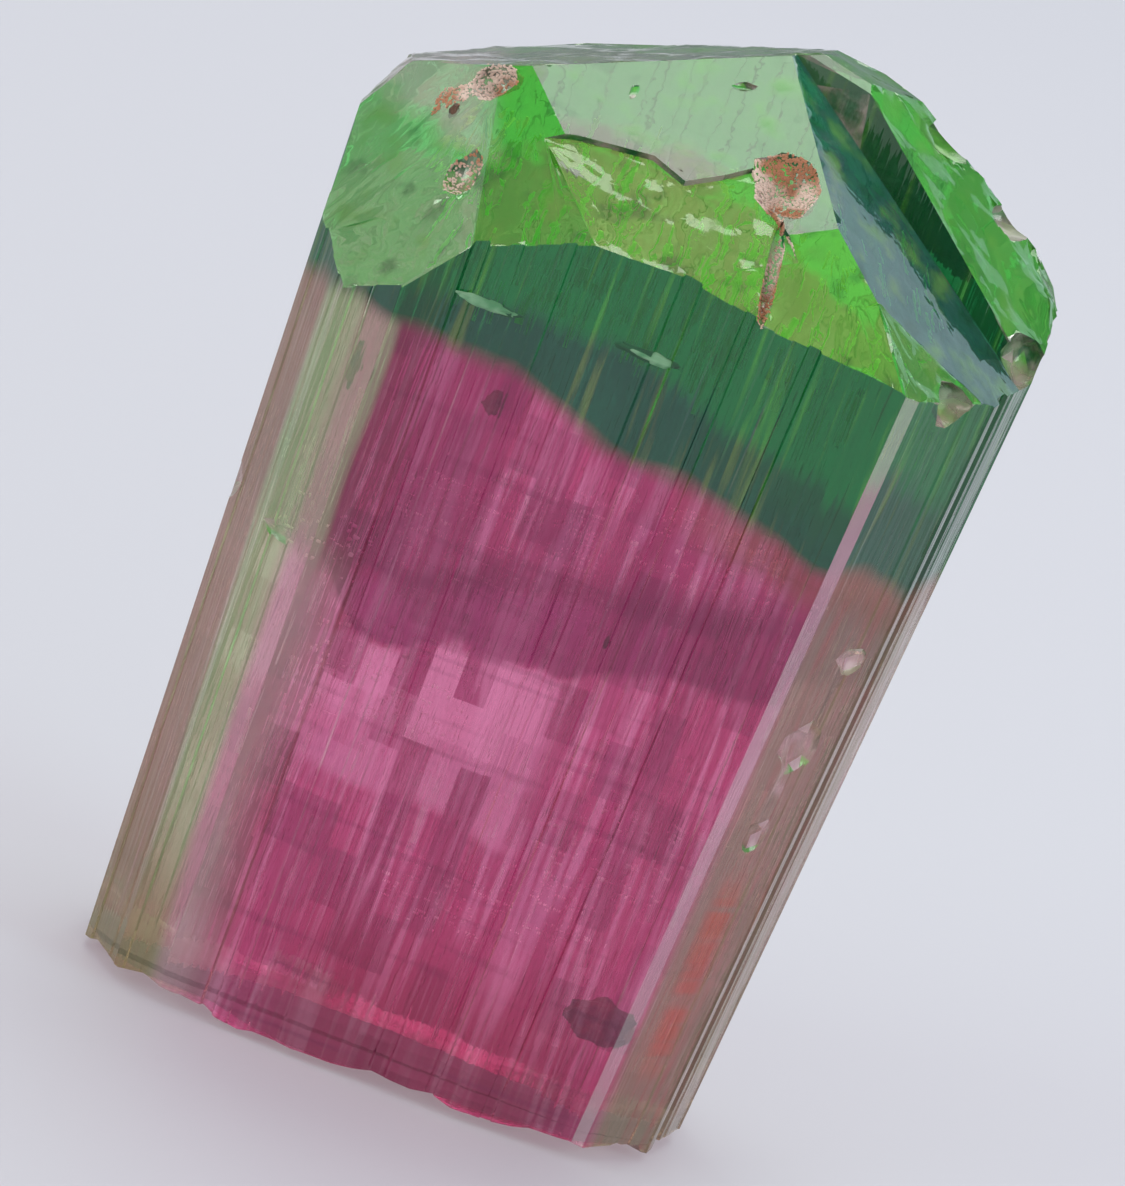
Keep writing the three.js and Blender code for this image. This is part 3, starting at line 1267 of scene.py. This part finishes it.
@dataclass
class StainCrust:
    """Iron-stained crust in the pits of the crown."""

    stains: tuple[Stain, ...] = (
        Stain("crust_pit", (1.6, -3.3, 23.6), (1.0, 1.3, 1.0), 420.0),
        Stain("crust_trail", (2.1, -5.3, 22.0), (0.35, 1.5, 1.3), 200.0),
        Stain(
            "crust_ridge",
            (-6.0, -2.8, 23.3),
            (1.3, 1.0, 0.8),
            300.0,
            ((-6.7, -2.41, 22.58), (-6.35, -2.54, 22.91), (-5.95, -2.69, 23.3), (-5.6, -2.82, 23.65)),
        ),
        Stain("crust_shoulder", (-5.65, -4.3, 21.6), (0.7, 0.7, 1.0), 120.0),
    )
    grain: float = 0.05
    grain_widths: Span = (0.4, 1.2)
    grain_heights: Span = (0.3, 0.7)
    spill_reach: float = 0.3
    seed: int = 21
    across_seed: int = 3
    along_seed: int = 4
    height_seed: int = 5
    finish: StoneFinish = StoneFinish("stain crust", srgb(232, 206, 188), srgb(186, 128, 94), 1.1, 0.6)

    def plan(self) -> Plan:
        """Draws the tree: lumpy grains scattered over a patch of surface.

        Returns:
            The tree.
        """
        plan = Plan("stain crust", Grain="Float", Density="Float", Seed="Int")
        spread = {0: plan.given("Geometry"), "Density": plan.given("Density"), "Seed": plan.given("Seed")}
        points = plan.node("GeometryNodeDistributePointsOnFaces", {}, spread)
        ball = plan.node("GeometryNodeMeshIcoSphere", {}, {"Radius": plan.given("Grain"), "Subdivisions": 1})
        across = plan.chance(self.grain_widths, self.across_seed)
        along = plan.chance(self.grain_widths, self.along_seed)
        tall = plan.chance(self.grain_heights, self.height_seed)
        scale = plan.node("ShaderNodeCombineXYZ", {}, {0: across, 1: along, 2: tall})
        turn = points.node.outputs["Rotation"]
        links = {"Points": points, "Instance": ball, "Rotation": turn, "Scale": scale}
        plan.close(plan.node("GeometryNodeInstanceOnPoints", {}, links))
        return plan

    def patch(self, surface: bpy.types.Mesh, stain: Stain) -> bpy.types.Mesh:
        """Copies the broken faces of the crystal that a stain covers.

        Args:
            surface: The crystal's mesh.
            stain: The stain.

        Returns:
            A mesh of those faces alone.
        """
        mesh = bpy.data.meshes.new(stain.name)
        work = bmesh.new()
        work.from_mesh(surface)
        broken = work.faces.layers.float[Mark.BROKEN.value]

        def away(each: bmesh.types.BMFace) -> bool:
            """Tells whether a face lies outside the stain.

            Args:
                each: A face of the crystal.

            Returns:
                True if the stain leaves it clean.
            """
            middle = each.calc_center_median() / MM
            spilt = any((middle - Vector(point)).length < self.spill_reach for point in stain.spill)
            offset = middle - Vector(stain.centre)
            share = Vector(a / b for a, b in zip(offset, stain.reach))
            return not spilt and (each[broken] < 0.5 or share.length > 1)

        bmesh.ops.delete(work, geom=[each for each in work.faces if away(each)], context="FACES")
        work.to_mesh(mesh)
        work.free()
        return mesh

    def place(self, surface: bpy.types.Mesh) -> list[bpy.types.Object]:
        """Builds and dresses the crust.

        Args:
            surface: The crystal's mesh.

        Returns:
            The crust's pieces.
        """
        plan = self.plan()
        material = self.finish.material()
        pieces = []
        for place, stain in enumerate(self.stains):
            values = {
                "Grain": self.grain * MM,
                "Density": stain.per_square / MM ** 2,
                "Seed": self.seed + place,
                "Material": material,
            }
            pieces.append(adopt(plan.run(stain.name, self.patch(surface, stain), values)))
        return pieces


@dataclass(frozen=True)
class Lamp:
    """A soft square light: its name, place, side, power in watts and colour."""

    name: str
    at: Point
    side: float
    power: float
    tint: Colour

    def hang(self, aim: Point) -> None:
        """Hangs the light so that it looks at a point.

        Args:
            aim: The point in millimetres.
        """
        lamp = bpy.data.lights.new(self.name, "AREA")
        lamp.size = self.side * MM
        lamp.energy = self.power
        lamp.color = self.tint
        piece = stand(self.name, lamp)
        piece.location = metres(self.at)
        towards = Vector(aim) - Vector(self.at)
        piece.rotation_euler = towards.to_track_quat("-Z", "Y").to_euler()


@dataclass
class Studio:
    """The floor, the lights and the camera."""

    elevation: float = 15.0
    roll: float = 21.0
    lens: float = 500.0
    sensor: float = 36.0
    frame_height: float = 28.46
    aim: Point = (0.0, 0.0, 11.65)
    floor_side: float = 1600.0
    nearest: float = 1.0
    floor_tint: Colour = (0.6, 0.6, 0.63)
    floor_roughness: float = 0.6
    sky_tint: Colour = (0.74, 0.8, 0.95)
    sky_strength: float = 0.36
    clear_bounces: int = 4
    gloss_bounces: int = 2
    matt_bounces: int = 1
    lamps: tuple[Lamp, ...] = (
        Lamp("top", (0, 125, 240), 220, 0.5, (1.0, 0.99, 0.97)),
        Lamp("left", (-200, -180, 110), 150, 0.42, (1.0, 0.98, 0.95)),
        Lamp("right", (220, -60, 90), 140, 0.31, (0.96, 0.98, 1.0)),
        Lamp("back", (100, 200, 110), 140, 0.05, (0.7, 0.86, 1.0)),
    )

    def floor(self) -> None:
        """Lays the floor."""
        half = self.floor_side * MM / 2
        mesh = bpy.data.meshes.new("floor")
        corners = [(-half, -half, 0), (half, -half, 0), (half, half, 0), (-half, half, 0)]
        mesh.from_pydata(corners, [], [(0, 1, 2, 3)])
        piece = stand("floor", mesh)
        graph = Graph("floor")
        links = {"Base Color": self.floor_tint, "Roughness": self.floor_roughness}
        mesh.materials.append(graph.close(Surface=graph.node("ShaderNodeBsdfPrincipled", {}, links)))

    def sky(self) -> None:
        """Fills the room with even light."""
        world = bpy.data.worlds.new("studio")
        world.use_nodes = True
        background = world.node_tree.nodes["Background"]
        background.inputs["Color"].default_value = (*self.sky_tint, 1.0)
        background.inputs["Strength"].default_value = self.sky_strength
        bpy.context.scene.world = world

    def camera(self) -> None:
        """Sets the camera at the photograph's angle."""
        data = bpy.data.cameras.new("camera")
        data.lens = self.lens
        data.sensor_width = self.sensor
        data.clip_start = self.nearest * MM
        piece = stand("camera", data)
        lift = math.radians(self.elevation)
        distance = self.lens / self.sensor * self.frame_height * MM
        away = Vector((0, -math.cos(lift), math.sin(lift)))
        turn = Matrix.Rotation(math.radians(90 - self.elevation), 4, "X")
        roll = Matrix.Rotation(math.radians(self.roll), 4, "Z")
        piece.matrix_world = Matrix.Translation(Vector(self.aim) * MM + away * distance) @ turn @ roll
        bpy.context.scene.camera = piece

    def limits(self) -> None:
        """Sets how far light is followed, so that a final render stays short."""
        cycles = bpy.context.scene.cycles
        cycles.max_bounces = self.clear_bounces
        cycles.transmission_bounces = self.clear_bounces
        cycles.transparent_max_bounces = self.clear_bounces
        cycles.glossy_bounces = self.gloss_bounces
        cycles.diffuse_bounces = self.matt_bounces
        cycles.caustics_reflective = False
        cycles.caustics_refractive = False
        cycles.use_light_tree = False

    def place(self) -> None:
        """Sets up the whole studio."""
        self.floor()
        for lamp in self.lamps:
            lamp.hang(self.aim)
        self.sky()
        self.camera()
        self.limits()
        bpy.context.scene.view_settings.view_transform = "Standard"


def main() -> None:
    """Builds the crystal and its studio, and reports each piece."""
    logging.basicConfig(level=logging.INFO, format="%(name)s: %(message)s")
    Studio().place()
    pieces = CrystalBody().place()
    pieces += PINK_TUBES.place()
    pieces += GREEN_TUBES.place()
    pieces += HealedVeils().place()
    pieces += DARK_GRAINS.place()
    pieces += PALE_FLAKES.place()
    pieces += StainCrust().place(pieces[0].data)
    for piece in pieces:
        log.info("%s has %d faces", piece.name, len(piece.data.polygons))


if __name__ == "__main__":
    main()
